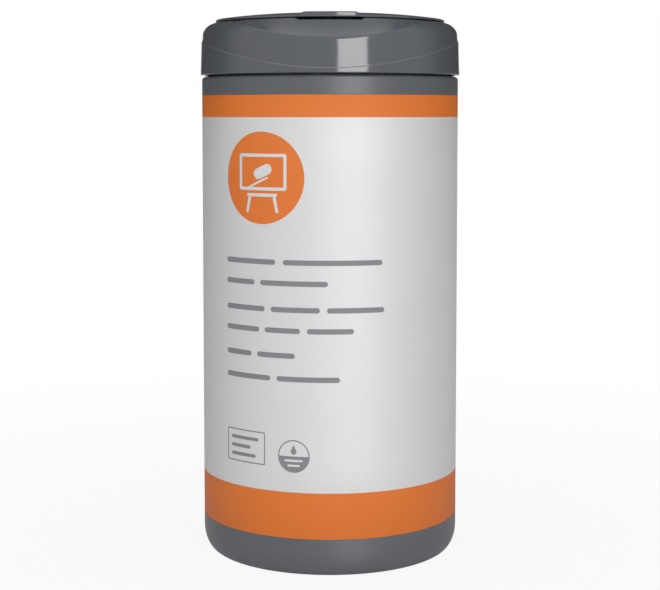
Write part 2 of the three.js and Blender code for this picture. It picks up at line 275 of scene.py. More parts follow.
def baked(source, tree, name, **inputs):
    """The result of a tree on an object, as a plain mesh object with outward faces."""
    modifier = source.modifiers.new("nodes", "NODES")
    modifier.node_group = tree
    for item in tree.interface.items_tree:
        if item.in_out == "INPUT" and item.name in inputs:
            modifier[item.identifier] = inputs[item.name]
    bpy.context.view_layer.update()
    evaluated = source.evaluated_get(bpy.context.evaluated_depsgraph_get())
    mesh = bpy.data.meshes.new_from_object(evaluated)
    bpy.data.objects.remove(source)
    return solid_object(name, mesh)


def solid_object(name, mesh):
    """An object for a closed mesh, with its doubles merged and its faces pointing out."""
    work = bmesh.new()
    work.from_mesh(mesh)
    bmesh.ops.remove_doubles(work, verts=work.verts, dist=1e-7)
    bmesh.ops.recalc_face_normals(work, faces=work.faces)
    for face in work.faces:
        face.smooth = True
    work.to_mesh(mesh)
    work.free()
    print(name + ":", len(mesh.polygons), "faces")
    return linked(name, mesh)


LATHE = lathe_tree()


def turned(name, profile, steps, material):
    """A solid turned from (radius, height) points in millimetres."""
    mesh = bpy.data.meshes.new(name)
    mesh.from_pydata([(r * MM, 0, z * MM) for r, z in profile], [], [])
    return baked(linked(name + "_profile", mesh), LATHE, name, Steps=steps, Finish=material)


# %% [markdown]
# A moulded edge is never sharp: its fillet is what catches the light. This helper takes corner points,
# rounds those that have a radius, and adds a guard point at each side of the fillet, so that smooth
# shading doesn't smear the curve over the flat faces beside it.


# %% Rounded outlines
GUARD = 1.1
LONGEST_FILLET = 0.45


def outline(corners, steps=5):
    """Points of an outline through (radius, height) corners, or (radius, height, fillet) ones."""
    points = []
    for i, (r, z, *fillet) in enumerate(corners):
        here = Vector((r, z))
        if not fillet:
            points.append(here)
            continue
        before = Vector(corners[i - 1][:2]) - here
        after = Vector(corners[(i + 1) % len(corners)][:2]) - here
        half = before.angle(after) / 2
        longest = LONGEST_FILLET * min(before.length, after.length)
        back = min(fillet[0] / math.tan(half), longest)
        before.normalize()
        after.normalize()
        centre = here + (before + after).normalized() * back / math.cos(half)
        spoke = here + before * back - centre
        sweep = spoke.angle_signed(here + after * back - centre)
        points.append(here + before * back * GUARD)
        for k in range(steps + 1):
            points.append(centre + Matrix.Rotation(-sweep * k / steps, 2) @ spoke)
        points.append(here + after * back * GUARD)
    return [(p.x, p.y) for p in points]


def quarter(centre_r, centre_z, width, height, start, end, steps):
    """Points on an ellipse, with angles in degrees from the outward direction."""
    points = []
    for k in range(steps + 1):
        angle = math.radians(start + (end - start) * k / steps)
        points.append((centre_r + width * math.cos(angle), centre_z + height * math.sin(angle)))
    return points


def clamp(value):
    return min(max(value, 0), 1)


def smooth_step(value):
    """0 up to zero, 1 from one on, and a smooth climb between."""
    share = clamp(value)
    return share * share * (3 - 2 * share)


def spread(start, end, count):
    """Places from start up to end, with end left out."""
    return [start + (end - start) * k / count for k in range(count)]


# %% [markdown]
# Dark grey polypropylene makes the tub, the cap and the lid. The tub came out of a blow mould and is
# satin, the cap came out of a polished injection mould and mirrors the studio lamps. Both are one dark
# base with a fine grain, a slow waviness that bends the reflections a little, and patches of slightly
# different gloss.


# %% Moulded plastic
def surface(name, build):
    """A material whose Principled shader gets the inputs that build returns."""
    material = bpy.data.materials.new(name)
    graph = cleared(material)
    place = graph.shader("TexCoord", out="Object")
    shader = graph.shader("BsdfPrincipled", build(graph, place))
    graph.shader("OutputMaterial", {"Surface": shader})
    return material


def moulded(dark, pale, roughness, patchy, waves, coat):
    """The inputs of a moulded grey plastic. Colours are linear, waves is a height in metres."""

    def build(graph, place):
        patches = graph.noise(place, 45.0, 3.0)
        grain = graph.noise(place, 3200.0, 1.0)
        slow = graph.noise(place, 38.0, 1.0)
        return {
            "Base Color": graph.mix(patches, dark, pale),
            "Roughness": (patches - 0.5) * patchy + roughness,
            "IOR": 1.5,
            "Coat Weight": coat,
            "Coat Roughness": roughness,
            "Normal": graph.relief(grain, 0.25, 4e-6, slow, waves),
        }

    return build


GREY = (0.078, 0.084, 0.094, 1)
GREY_PALE = (0.09, 0.097, 0.108, 1)
satin = moulded(GREY, GREY_PALE, roughness=0.4, patchy=0.1, waves=1.5e-5, coat=0.35)
glossy = moulded(GREY, GREY_PALE, roughness=0.1, patchy=0.06, waves=1.0e-5, coat=0.6)
tub_plastic = surface("satin grey plastic", satin)
cap_plastic = surface("glossy grey plastic", glossy)
print("plastics:", tub_plastic.name + ",", cap_plastic.name)

# %% [markdown]
# The tub is one profile turned round its axis. It has a rounded foot with a push-up in the middle, a
# recess that the label fills flush, a low shoulder, and a neck with a snap bead. The profile goes up the
# outside and comes back down the inside, so the wall has its real thickness.

# %% Tub
RECESS = 0.6
TUB_WALL = 1.1
FOOT_WIDTH = 4.5
FOOT_HEIGHT = 8.5
FLOOR = 1.5
PUSH_UP_RADIUS = 31
PUSH_UP_HEIGHT = 2.2
PUSH_UP_SLOPE = 3
LABEL_PLAY = 0.03
SHOULDER_TOP = CAP_BOTTOM - SEAT_GAP
SHOULDER_DROP = 1.3
SHOULDER_WIDTH = 2.8
NECK_RADIUS = TUB_RADIUS - 3.4
NECK_WALL = 1.2
BEAD_MIDDLE = SHOULDER_TOP + 6.1
BEAD_DEPTH = 0.8
FINE_STEPS = 256


def tub_profile():
    recess = TUB_RADIUS - RECESS
    recess_bottom = LABEL_BOTTOM - LABEL_PLAY
    recess_top = LABEL_TOP + LABEL_PLAY
    inside = recess - TUB_WALL
    neck_inside = NECK_RADIUS - NECK_WALL
    bead = NECK_RADIUS + BEAD_DEPTH
    foot_centre = TUB_RADIUS - FOOT_WIDTH
    push_up_foot = PUSH_UP_RADIUS + PUSH_UP_SLOPE
    shoulder_foot = SHOULDER_TOP - SHOULDER_DROP
    points = outline([(0, PUSH_UP_HEIGHT), (PUSH_UP_RADIUS, PUSH_UP_HEIGHT, 2), (push_up_foot, 0, 1)])
    points += quarter(foot_centre, FOOT_HEIGHT, FOOT_WIDTH, FOOT_HEIGHT, -90, 0, 16)
    points += outline([
        (TUB_RADIUS, FOOT_HEIGHT + 0.5),
        (TUB_RADIUS, recess_bottom, 0.1), (recess, recess_bottom, 0.1),
        (recess, recess_top, 0.1), (TUB_RADIUS, recess_top, 0.1),
        (TUB_RADIUS, shoulder_foot - 0.4),
    ], 3)
    points += quarter(TUB_RADIUS - SHOULDER_WIDTH, shoulder_foot, SHOULDER_WIDTH, SHOULDER_DROP, 0, 90, 10)
    points += outline([
        (TUB_RADIUS - 3, SHOULDER_TOP), (NECK_RADIUS, SHOULDER_TOP, 0.3),
        (NECK_RADIUS, BEAD_MIDDLE - 1.2, 0.3), (bead, BEAD_MIDDLE - 0.3, 0.3),
        (bead, BEAD_MIDDLE + 0.3, 0.3), (NECK_RADIUS, BEAD_MIDDLE + 1.2, 0.3),
        (NECK_RADIUS, NECK_TOP, 0.4), (neck_inside, NECK_TOP, 0.4),
        (neck_inside, SHOULDER_TOP + 1, 0.5), (inside, SHOULDER_TOP - 3, 1),
        (inside, FOOT_HEIGHT + 1),
    ])
    points += quarter(inside - 5, FOOT_HEIGHT, 5, FOOT_HEIGHT - FLOOR, 0, -90, 8)
    inner_floor = PUSH_UP_HEIGHT + FLOOR
    return points + [(push_up_foot, FLOOR), (PUSH_UP_RADIUS, inner_floor), (0, inner_floor)]


tub = turned("canister_tub", tub_profile(), FINE_STEPS, tub_plastic)
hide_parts("tub")
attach(tub, "canister")

# %% [markdown]
# The wrap label is one silver film with printed fields: an orange band at the foot, an orange band at
# the top, and a quiet layout of marks between them. The print could be an image, but masks made from the
# place on the film stay sharp at any zoom and bake as they are. Two numbers do it all: the height, and
# the distance round the tub from the front. What the print shows here is a plain sign of a board and a
# wipe, and bars in place of words.

# %% Print helpers
EDGE = 0.06


class Print:
    """Masks on the wrap, in millimetres round the tub and up it."""

    def __init__(self, graph, place):
        x, y, z = graph.apart(place)
        self.around = x.math("ARCTAN2", y * -1.0) * TUB_RADIUS
        self.up = z * (1 / MM)

    def inside(self, distance):
        """1 where a distance is below zero, with a soft printed edge."""
        return (distance * (-1 / EDGE) + 0.5).clamped()

    def bar(self, left, right, bottom, top, corner=0.0):
        """A box with rounded corners."""
        across = abs(self.around - (left + right) / 2) - ((right - left) / 2 - corner)
        along = abs(self.up - (bottom + top) / 2) - ((top - bottom) / 2 - corner)
        if corner == 0:
            return self.inside(across.most(along))
        beyond_across = across.most(0.0)
        beyond_along = along.most(0.0)
        round_part = (beyond_across * beyond_across + beyond_along * beyond_along).math("SQRT")
        return self.inside(round_part + across.most(along).least(0.0) - corner)

    def spot(self, centre, height, radius):
        """A round disc."""
        return self.inside(self.reach(centre, height) - radius)

    def reach(self, centre, height):
        across = self.around - centre
        along = self.up - height
        return (across * across + along * along).math("SQRT")

    def ring(self, centre, height, radius, width):
        return self.inside(abs(self.reach(centre, height) - radius) - width / 2)

    def frame(self, left, right, bottom, top, width, corner):
        outer = self.bar(left, right, bottom, top, corner)
        inner_corner = max(corner - width, 0.05)
        return outer - self.bar(left + width, right - width, bottom + width, top - width, inner_corner)

    def tilted(self, centre, height, length, width, degrees):
        """A straight stroke with round ends, turned by some degrees."""
        across = self.around - centre
        along = self.up - height
        turn = math.radians(degrees)
        lengthwise = across * math.cos(turn) + along * math.sin(turn)
        sideways = along * math.cos(turn) - across * math.sin(turn)
        beyond = (abs(lengthwise) - (length - width) / 2).most(0.0)
        return self.inside((beyond * beyond + sideways * sideways).math("SQRT") - width / 2)


# %% [markdown]
# The sign is a white board on two short legs with a folded wipe drawn across it, in a round orange
# field. Each mark is one mask, and marks of one ink are joined with Maximum.

# %% The sign in its round field
LEFT_MARGIN = -40.4
SIGN_CENTRE = -24.2
SIGN_HEIGHT = 135.8
SIGN_RADIUS = 15.6


def joined(masks):
    """Masks of one ink, joined with Maximum."""
    marks = masks[0]
    for mask in masks[1:]:
        marks = marks.most(mask)
    return marks


def sign_field(ink):
    return ink.spot(SIGN_CENTRE, SIGN_HEIGHT, SIGN_RADIUS)


def sign_marks(ink):
    left = SIGN_CENTRE - 9.4
    right = SIGN_CENTRE + 9.4
    board = ink.frame(left, right, SIGN_HEIGHT - 4.2, SIGN_HEIGHT + 8.2, 1.1, 0.9)
    tray = ink.bar(SIGN_CENTRE - 6, SIGN_CENTRE + 6, SIGN_HEIGHT - 6.3, SIGN_HEIGHT - 5.2, 0.5)
    leg_left = ink.tilted(SIGN_CENTRE - 5.4, SIGN_HEIGHT - 9, 5.6, 1.1, 78)
    leg_right = ink.tilted(SIGN_CENTRE + 5.4, SIGN_HEIGHT - 9, 5.6, 1.1, 102)
    wipe = ink.tilted(SIGN_CENTRE + 0.4, SIGN_HEIGHT + 2.2, 7.4, 3.6, 24)
    swipes = ink.tilted(SIGN_CENTRE - 1.6, SIGN_HEIGHT - 1.6, 9.0, 0.7, 24)
    return joined([board, tray, leg_left, leg_right, wipe, swipes])


# %% [markdown]
# Six rows of bars stand where a label has its words, each row with its own height and word lengths.
# Below them are a small framed panel with three bars, and a round badge with a drop.

# %% Rows of bars
ROW_HEIGHT = 1.8
ROWS = [
    (107.5, (0, 21.4), (24.2, 58.5)),
    (100.4, (0, 13.2), (15.6, 39.7)),
    (91.5, (0, 17.3), (19.6, 37.0), (39.4, 59.2)),
    (84.4, (0, 15.1), (17.3, 30.2), (32.6, 48.5)),
    (75.9, (0, 11.8), (14.2, 28.4)),
    (68.0, (0, 19.4), (21.8, 43.8)),
]


def row_marks(ink):
    half = ROW_HEIGHT / 2
    words = [(height, word) for height, *row in ROWS for word in row]
    bars = [
        ink.bar(LEFT_MARGIN + start, LEFT_MARGIN + end, height - half, height + half, half - 0.02)
        for height, (start, end) in words
    ]
    return joined(bars)


PANEL = (LEFT_MARGIN, -23.1, 37.7, 49.1)
BADGE_CENTRE = -12.5
BADGE_HEIGHT = 41.7
BADGE_RADIUS = 5.4


def panel_marks(ink):
    left, right, bottom, top = PANEL
    marks = ink.frame(left, right, bottom, top, 0.45, 0.6)
    for k, width in enumerate((12.4, 9.0, 11.2)):
        height = top - 2.9 - 2.9 * k
        marks = marks.most(ink.bar(left + 2.2, left + 2.2 + width, height - 0.6, height + 0.6, 0.55))
    return marks


def badge_marks(ink):
    rim = ink.ring(BADGE_CENTRE, BADGE_HEIGHT, BADGE_RADIUS, 0.45)
    disc = ink.spot(BADGE_CENTRE, BADGE_HEIGHT, BADGE_RADIUS)
    lower = disc * ink.inside(ink.up - BADGE_HEIGHT)
    for k, half in enumerate((3.2, 2.2)):
        middle = BADGE_HEIGHT - 1.5 - 1.7 * k
        line = ink.bar(BADGE_CENTRE - half, BADGE_CENTRE + half, middle - 0.35, middle + 0.35, 0.3)
        lower = lower * (1 - line)
    drop = ink.spot(BADGE_CENTRE, BADGE_HEIGHT + 1.6, 1.0)
    tip = ink.inside(abs(ink.around - BADGE_CENTRE) * 2.2 + (ink.up - (BADGE_HEIGHT + 4.0)))
    above = ink.inside(BADGE_HEIGHT + 1.9 - ink.up)
    return joined([rim, lower, drop, tip * above])


# %% [markdown]
# The film itself is a metallised foil with a matt varnish, so it is brighter where it faces the lamps
# and greyer where it turns away, which needs some metal in the shader. The inks are opaque and have none.

# %% Label finish
FOIL = (0.65, 0.652, 0.656, 1)
FOIL_PALE = (0.68, 0.682, 0.685, 1)
ORANGE = (0.69, 0.168, 0.02, 1)
ORANGE_DEEP = (0.65, 0.152, 0.016, 1)
INK = (0.2, 0.205, 0.215, 1)


def printed_film(graph, place):
    ink = Print(graph, place)
    patches = graph.noise(place, 30.0, 3.0)
    fibre = graph.noise(place, 2400.0, 1.0)
    bands = ink.inside(ink.up - LOWER_BAND_TOP).most(ink.inside(UPPER_BAND_BOTTOM - ink.up))
    field = bands.most(sign_field(ink))
    dark = joined([row_marks(ink), panel_marks(ink), badge_marks(ink)])
    sign = sign_marks(ink)
    foil = graph.mix(patches, FOIL, FOIL_PALE)
    orange = graph.mix(patches, ORANGE_DEEP, ORANGE)
    colour = graph.mix(field, foil, orange)
    colour = graph.mix(sign, colour, FOIL_PALE)
    colour = graph.mix(dark, colour, INK)
    covered = (field - sign).clamped().most(dark)
    slow = graph.noise(place, 26.0, 1.0)
    return {
        "Base Color": colour,
        "Metallic": (1 - covered) * 0.3,
        "Roughness": patches * 0.06 + 0.56,
        "IOR": 1.5,
        "Normal": graph.relief(fibre, 0.3, 5e-6, slow, 2.5e-5),
    }


label_film = surface("printed foil film", printed_film)

# %% [markdown]
# The film is wrapped once round the tub and its end overlaps its start at the back, where a real label
# shows a fine step from top to bottom. So it isn't a turned ring but a strip: it starts just before the
# back, goes round the front, and its last few degrees climb over the start.

# %% Wrap label
FILM = 0.15
FILM_BEVEL = 0.04
LAP_DEGREES = 4.5
RAMP_DEGREES = 2.5
WRAP_STEPS = 290


def strip_object(name, sections, material, closed, rings=True):
    """Sections joined to a skin. The last section meets the first, or both ends get a face. Each
    section is a ring of points, or a line that starts and ends on the axis."""
    mesh = bpy.data.meshes.new(name)
    count = len(sections[0])
    points = [point for section in sections for point in section]
    faces = []
    spans = len(sections) if closed else len(sections) - 1
    for i in range(spans):
        here = i * count
        there = (i + 1) % len(sections) * count
        for k in range(count if rings else count - 1):
            after = (k + 1) % count
            faces.append((here + k, here + after, there + after, there + k))
    if not closed:
        faces.append(tuple(range(count)))
        faces.append(tuple(range(len(points) - count, len(points))))
    mesh.from_pydata(points, [], faces)
    mesh.materials.append(material)
    return solid_object(name, mesh)


def at(radius, height, degrees):
    """A point in metres, by its angle from the front towards the right."""
    angle = math.radians(degrees)
    return (radius * math.sin(angle) * MM, -radius * math.cos(angle) * MM, height * MM)


def wrap_sections():
    sections = []
    first = -180 - LAP_DEGREES / 2
    last = 180 + LAP_DEGREES / 2
    middles = [LABEL_BOTTOM + (LABEL_TOP - LABEL_BOTTOM) * k / 6 for k in range(1, 6)]
    heights = [LABEL_BOTTOM + FILM_BEVEL, *middles, LABEL_TOP - FILM_BEVEL]
    for i in range(WRAP_STEPS + 1):
        angle = first + (last - first) * i / WRAP_STEPS
        climb = clamp((angle - (last - LAP_DEGREES - RAMP_DEGREES)) / RAMP_DEGREES)
        outer = TUB_RADIUS + climb * (FILM + 0.01)
        inner = outer - FILM
        edge = outer - FILM_BEVEL
        outside = [(edge, LABEL_BOTTOM)] + [(outer, z) for z in heights] + [(edge, LABEL_TOP)]
        inside = [(inner, LABEL_TOP), (inner, LABEL_BOTTOM)]
        sections.append([at(r, z, angle) for r, z in outside + inside])
    return sections


label_wrap = strip_object("label_wrap", wrap_sections(), label_film, closed=False)
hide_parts("label_lower_band", "label_panel", "label_upper_band")
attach(label_wrap, "canister")

# %% [markdown]
# Inside is one long web of wipes wound on itself, with no core, so its ends show fine turns. The same
# lathe makes it: two ridged ends and a plain side. The cloth is nonwoven, and a stretched noise gives
# its fibres.

# %% Roll of wipes
TURNS = 38
CORE_RADIUS = 9.5
TURN_DEPTH = 0.55
TURN_SHAPE = ((0.06, TURN_DEPTH), (0.3, 0.06), (0.7, 0.0), (0.94, 0.2))
ROLL_STEPS = 144
CLOTH_DAMP = (0.7, 0.71, 0.71, 1)
CLOTH = (0.82, 0.83, 0.82, 1)


def nonwoven(graph, place):
    stretched = graph.shader("Mapping", {"Vector": place, "Scale": (1, 1, 0.25)})
    web = {"Vector": stretched, "Scale": 1500.0, "Detail": 4.0, "Distortion": 0.6}
    fibres = graph.shader("TexNoise", web)
    damp = graph.noise(place, 60.0, 3.0)
    bump = graph.shader("Bump", {"Strength": 0.7, "Distance": 8e-5, "Height": fibres})
    return {
        "Base Color": graph.mix(damp, CLOTH_DAMP, CLOTH),
        "Roughness": damp * 0.2 + 0.62,
        "IOR": 1.4,
        "Normal": bump,
    }


def roll_profile():
    pitch = (ROLL_RADIUS - CORE_RADIUS) / TURNS
    lower = []
    upper = []
    for k in range(TURNS):
        inner = CORE_RADIUS + k * pitch
        for share, depth in TURN_SHAPE:
            lower.append((inner + share * pitch, ROLL_BOTTOM + depth))
            upper.append((inner + share * pitch, ROLL_TOP - depth))
    side = [(ROLL_RADIUS, ROLL_BOTTOM + 0.8), (ROLL_RADIUS, ROLL_TOP - 0.8)]
    core = [(CORE_RADIUS, ROLL_TOP - TURN_DEPTH - 0.3), (CORE_RADIUS, ROLL_BOTTOM + TURN_DEPTH + 0.3)]
    return lower + side + upper[::-1] + core + lower[:1]


wet_cloth = surface("wet nonwoven cloth", nonwoven)
roll = turned("roll_of_wipes", roll_profile(), ROLL_STEPS, wet_cloth)
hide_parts("wipes_roll")
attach(roll, "canister")

# %% [markdown]
# The cap is one moulding with more to it than a turned shape: a curved crease low on its side, a finger
# scoop at the front, a nail notch under the lid's lip, and a pocket at the back for the hinge. It could
# be cut with booleans, but they leave hard edges that a glossy surface shows at once. So it is built
# from sections instead: one closed outline for every degree or so round the axis, all with the same
# number of points, and points crowded where an edge passes.

# %% Cap sizes
CAP_WALL = 1.4
LIP_REACH = 0.9
CORNER = 5.0  # radius of the corner between side and deck
CORNER_R = CAP_RADIUS - 0.8 - CORNER
CORNER_Z = DECK_TOP - CORNER
CREASE_FRONT = CAP_BOTTOM + 1.7
CREASE_CURVE = 113
CREASE_STEP = 0.2
DRAFT = 0.35 / 11.5  # how far the side leans in for each millimetre of height
LEAN_HEIGHT = 6  # the side leans in more over this height below the corner
SCOOP_R = LID_RADIUS - LIP_REACH + 0.2
SCOOP_FOOT_R = CAP_RADIUS - 0.55
SCOOP_DROP = 7.2  # depth of the scoop at the cap's side, at the front
SCOOP_CLIMB = 0.5  # how fast it gets shallower towards the back
SCOOP_HOLLOW = 0.45
SCOOP_EDGE = 0.5  # width of the rounding between the scoop and the skin
NOTCH_HALF = 12
NOTCH_SLANT = 1.8
NOTCH_DEPTH = 0.7
NOTCH_BACK_R = 35.1
POCKET_Y = 38.3
POCKET_HALF = 17
POCKET_FLOOR = DECK_TOP - 3
POCKET_EDGE = 0.3
POCKET_TURN = math.degrees(math.asin(POCKET_HALF / POCKET_Y))
DECK_INNER_R = 36.0


def crease_height(x):
    """The crease is an arc seen from the front, lowest in the middle."""
    return CREASE_FRONT + CREASE_CURVE - math.sqrt(CREASE_CURVE ** 2 - x ** 2)


def band_radius(z):
    return CAP_RADIUS - DRAFT * (z - CAP_BOTTOM)


def side_radius(z):
    """The side above the crease, which leans in and runs into the corner."""
    plain = band_radius(z) - CREASE_STEP
    share = clamp((z - CORNER_Z) / LEAN_HEIGHT + 1)
    top = CORNER_R + CORNER
    return plain + (top - plain) * share ** 2


def soft_min(a, b, width):
    """The smaller of two numbers, with the change from one to the other rounded."""
    near = max(width - abs(a - b), 0) / width
    return min(a, b) - near * near * width / 4


def scoop_height(r, turn):
    """Height of the finger scoop, for an angle from the front in radians."""
    share = (r - SCOOP_R) / (SCOOP_FOOT_R - SCOOP_R)
    drop = SCOOP_DROP - SCOOP_CLIMB * r * (1 - math.cos(turn))
    hollow = SCOOP_HOLLOW * 4 * max(share, 0) * max(1 - share, 0)
    return DECK_TOP - share * drop - hollow


def notch_height(x, turn):
    if abs(turn) > math.pi / 2:
        return DECK_TOP
    return DECK_TOP - NOTCH_DEPTH * smooth_step((NOTCH_HALF - abs(x)) / NOTCH_SLANT)


# %% [markdown]
# A place on the cap's skin is one number: how far it is along the outline from where the corner begins.
# Below zero it is on the side, then on the corner's arc, then on the deck. A ray runs from inside the
# cap out to each place, and the scoop cuts the skin back along that ray.

# %% Cap skin
ARC_LENGTH = CORNER * math.pi / 2
LOWEST_EDGE = -4.0
PLAIN_EDGE = 5.1
REAR_EDGE = 2.06
PLAIN_CREST = 6.8


def ray(s):
    """Start, direction and outer length of the ray at a place on the skin."""
    if s < 0:
        z = CORNER_Z + s
        return (CORNER_R, z), (1, 0), side_radius(z) - CORNER_R
    if s < ARC_LENGTH:
        angle = s / CORNER
        return (CORNER_R, CORNER_Z), (math.cos(angle), math.sin(angle)), CORNER
    return (CORNER_R - (s - ARC_LENGTH), CORNER_Z), (0, 1), CORNER


def scoop_reach(s, turn):
    """Where the scoop crosses the ray, or the ray's own length if it doesn't."""
    (r0, z0), (dr, dz), length = ray(s)

    def above(reach):
        return z0 + dz * reach - scoop_height(r0 + dr * reach, turn)

    longest = length + 3
    if above(longest) <= 0:
        return longest
    near, far = 0, longest
    for _ in range(24):
        middle = (near + far) / 2
        if above(middle) > 0:
            far = middle
        else:
            near = middle
    return near


def skin_point(s, turn, depth=0):
    """Radius and height of the skin at a place, or of the wall's inner face at some depth."""
    (r0, z0), (dr, dz), length = ray(s)
    reach = min(soft_min(length, scoop_reach(s, turn), SCOOP_EDGE), length) - depth
    return r0 + dr * reach, z0 + dz * reach


def scoop_edge(turn):
    """The place where the side or corner meets the scoop."""
    for s in spread(LOWEST_EDGE, PLAIN_EDGE, 60):
        if scoop_reach(s, turn) < ray(s)[2]:
            return s
    return PLAIN_EDGE


# %% [markdown]
# The columns of the mesh stand closer together at the front, where the notch and the scoop are. At the
# back they bend, so that they run straight back beside the hinge pocket and its side walls stay square.

# %% Cap columns
BEND_FROM = 50


def column_angles():
    """Angles from the front in degrees, right side only, both ends included."""
    angles = [0.5 * k for k in range(45)] + [22 + k for k in range(1, 126)]
    rear = [k for k in range(32, 0, -1) if abs(k - POCKET_TURN) > 1.1]
    beside = [POCKET_TURN + d for d in (1.0, 0.5, 0.12, 0.04, -0.04, -0.12, -0.5, -1.0)]
    angles += [180 - b for b in sorted(rear + beside, reverse=True)]
    return [a for a in angles if a < 180] + [180]


def cap_place(column, r, z):
    """A point in metres on a column of the cap."""
    behind = 180 - abs(column)
    if behind > BEND_FROM or r <= POCKET_Y:
        return at(r, z, column)
    straight = math.degrees(math.asin(POCKET_Y * math.sin(math.radians(behind)) / r))
    weight = smooth_step((BEND_FROM - behind) / (BEND_FROM - POCKET_TURN - 1.5))
    bent = behind + (straight - behind) * weight
    return at(r, z, math.copysign(180 - bent, column))


def pocket_wall(column):
    """Radius of the pocket's front wall on a column."""
    behind = math.radians(min(180 - abs(column), POCKET_TURN + 1))
    return POCKET_Y * math.sqrt(1 + math.sin(behind) ** 2)


def place_at_radius(r):
    """The place on the unscooped skin whose radius is r, for the corner and the deck."""
    if r >= CORNER_R:
        return CORNER * math.acos((r - CORNER_R) / CORNER)
    return ARC_LENGTH + CORNER_R - r


EDGE_REACH = 0.7
EDGE_STEPS = (-EDGE_REACH, -0.42, -0.24, -0.12, 0, 0.12, 0.24, 0.42)
WALL_STEPS = ((-0.35, 0), (-0.07, 0), (-0.055, 0.08), (-0.04, 0.5), (-0.02, 0.92), (0.02, 1), (0.35, 1))


def top_skin(column):
    """The skin from the crease to the deck."""
    turn = math.radians(column)
    front_x = math.sin(turn) * SCOOP_R
    in_pocket = 180 - abs(column) < POCKET_TURN
    start = crease_height(math.sin(turn) * CAP_RADIUS) + 0.6 - CORNER_Z
    if abs(column) < 90:
        edge = scoop_edge(turn)
        notch = notch_height(front_x, turn)
        slope = DECK_TOP - scoop_height(SCOOP_R + 1, turn)
        crest_r = SCOOP_R + (DECK_TOP - notch) / max(slope, 0.9)
        crest = CORNER * math.atan2(notch - CORNER_Z, crest_r - CORNER_R)
    else:
        share = clamp((abs(column) - 90) / 40)
        edge = PLAIN_EDGE + (REAR_EDGE - PLAIN_EDGE) * share
        wall = place_at_radius(pocket_wall(column))
        crest = PLAIN_CREST + (wall - PLAIN_CREST) * share
    points = []
    lower = spread(start, edge - EDGE_REACH, 26)
    at_edge = [edge + d for d in EDGE_STEPS]
    middle = spread(edge + EDGE_REACH, crest - 0.5, 9)
    for s in lower + at_edge + middle:
        points.append((*skin_point(s, turn), 0))
    for d, share in WALL_STEPS:
        points.append((*skin_point(crest + d, turn), share))
    for s in spread(crest + 0.8, ARC_LENGTH + CORNER_R - DECK_INNER_R, 6):
        points.append((*skin_point(s, turn), 1))
    done = []
    for r, z, share in points:
        if in_pocket and share < 1:
            z = soft_min(z, POCKET_FLOOR + (DECK_TOP - POCKET_FLOOR) * share, POCKET_EDGE)
        if abs(column) < 90 and r > NOTCH_BACK_R:
            limit = notch_height(r * math.sin(turn), turn)
            z = z if limit == DECK_TOP else soft_min(z, limit, 0.12)
        done.append((r, z))
    return done


# %% [markdown]
# Inside, the cap has a well round the spout, a plug ring that stops in the neck, a flange that sits on
# the neck's rim and a snap bead. The crease, the notch, the scoop and the pocket change from column to
# column, and all the rest is the same all the way round.

# %% Cap section
SPOUT_RISE = 3.3
SPOUT_R = 13.0
WELL_R = 28.0
WELL_FLOOR = SPOUT_TOP - SPOUT_RISE
WELL_WALL = 1.2
PLUG_R = NECK_RADIUS - NECK_WALL - SEAT_GAP
PLUG_WALL = 1.1
PLUG_FOOT = NECK_TOP - 3
SEAT = NECK_TOP + SEAT_GAP
FLANGE = 1.6
SNAP_R = NECK_RADIUS + BEAD_DEPTH + 0.2
SNAP_Z = CAP_BOTTOM + 3.2
RIM_STEPS = ((0.9, 0), (0.22, 0), (0.08, 0.03), (0.01, 0.12), (0, 0.3))
LEDGE_STEPS = ((0, -0.5), (0, -0.29), (0.005, -0.26), (0.02, -0.235), (0.035, -0.217))
LEDGE_STEPS += ((0.165, -0.058), (0.18, -0.04), (0.195, -0.01), (CREASE_STEP, 0.35))


def cap_band(column):
    """The skirt's rim, the lower band and the crease."""
    crease = crease_height(math.sin(math.radians(column)) * CAP_RADIUS)
    r = band_radius(crease)
    rim = [(CAP_RADIUS - inset, CAP_BOTTOM + rise) for inset, rise in RIM_STEPS]
    middle = [(band_radius(z), z) for z in spread(CAP_BOTTOM + 0.6, crease - 0.5, 4)]
    return rim + middle + [(r - inset, crease + rise) for inset, rise in LEDGE_STEPS]


def cap_well(column):
    """The notch's rear wall, the deck and the well."""
    turn = math.radians(column)
    back = notch_height(NOTCH_BACK_R * math.sin(turn), turn)
    deck = [(NOTCH_BACK_R + 0.1, back), (NOTCH_BACK_R + 0.02, back + 0.06)]
    deck += [(NOTCH_BACK_R - 0.02, DECK_TOP - 0.06), (NOTCH_BACK_R - 0.1, DECK_TOP)]
    deck += [(WELL_R + 5, DECK_TOP), (WELL_R + 2, DECK_TOP)]
    well = outline([
        (WELL_R + 2, DECK_TOP), (WELL_R, DECK_TOP, 0.5),
        (WELL_R, WELL_FLOOR, 0.8), (SPOUT_R + 1, WELL_FLOOR),
    ], 4)[1:]
    return deck + well + [(SPOUT_R, WELL_FLOOR), (SPOUT_R - 0.4, WELL_FLOOR - 0.1)]


